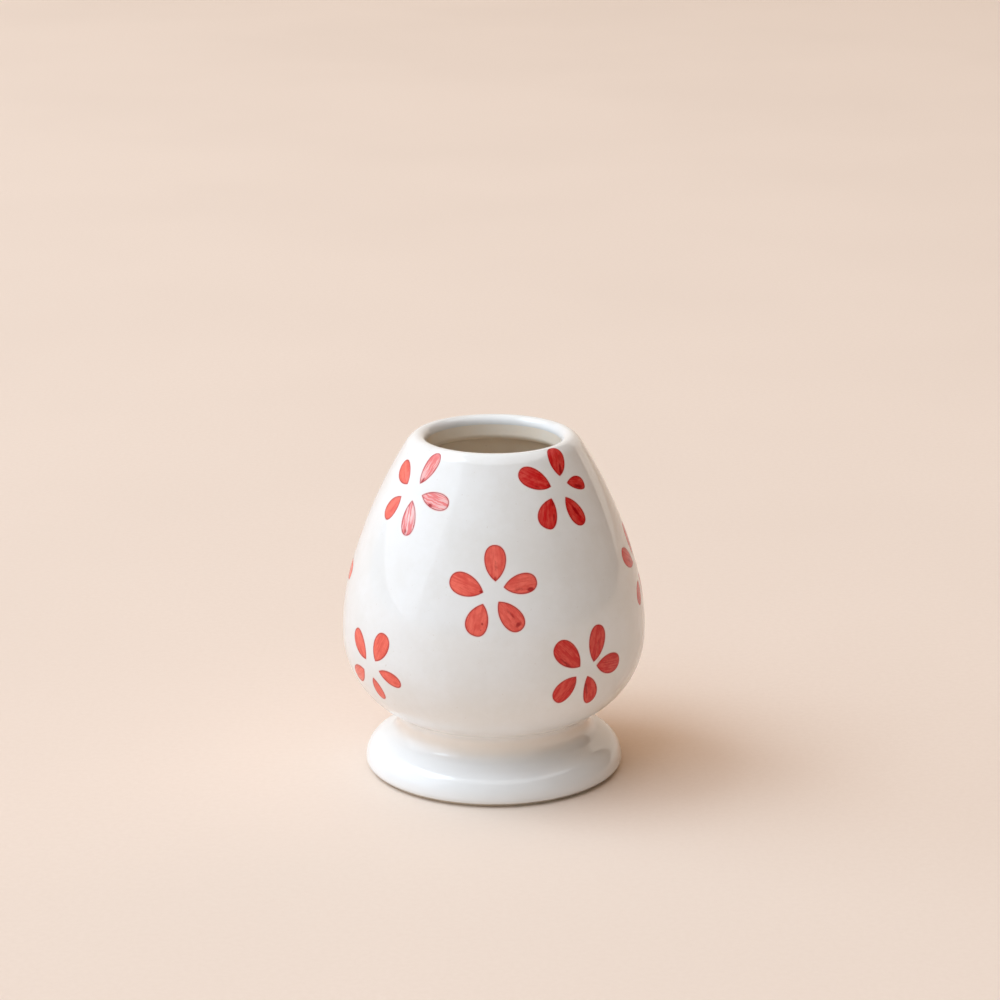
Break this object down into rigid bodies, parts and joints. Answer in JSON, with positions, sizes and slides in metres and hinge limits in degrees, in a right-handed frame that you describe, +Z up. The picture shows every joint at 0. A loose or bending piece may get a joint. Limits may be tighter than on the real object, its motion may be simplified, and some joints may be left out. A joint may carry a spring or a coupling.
{
  "type": "tea whisk holder",
  "caption": "Egg-shaped glazed ceramic stand with a rolled, open mouth and a flared foot, painted with red five-petalled flowers; a bamboo tea whisk dries over it.",
  "frame": {"origin": "middle of the contact ring, on the plane that it stands on", "axes": "+Z up along the axis of the bulb, -Y towards the viewer of the picture, +X to the viewer's right"},
  "size_m": [0.065, 0.065, 0.074],
  "materials": {
    "fired_clay": "bare fired stoneware, fine-grained, matt, pale buff",
    "white_glaze": "glossy clear-white glaze, slightly uneven",
    "liner_glaze": "glossy glaze, thinner and warmer than outside",
    "flower_red": "brushed red under a clear glossy glaze"
  },
  "bodies": {
    "root": {"bulb": "fired_clay", "foot": "fired_clay", "outer_glaze": "white_glaze", "liner_glaze": "liner_glaze", "underside_glaze": "white_glaze", "flower_upper_left": "flower_red", "flower_upper_right": "flower_red", "flower_upper_back_right": "flower_red", "flower_upper_back_left": "flower_red", "flower_middle_front": "flower_red", "flower_middle_right": "flower_red", "flower_middle_back": "flower_red", "flower_middle_left": "flower_red", "flower_lower_left": "flower_red", "flower_lower_right": "flower_red", "flower_lower_back_right": "flower_red", "flower_lower_back_left": "flower_red"}
  },
  "joints": []
}
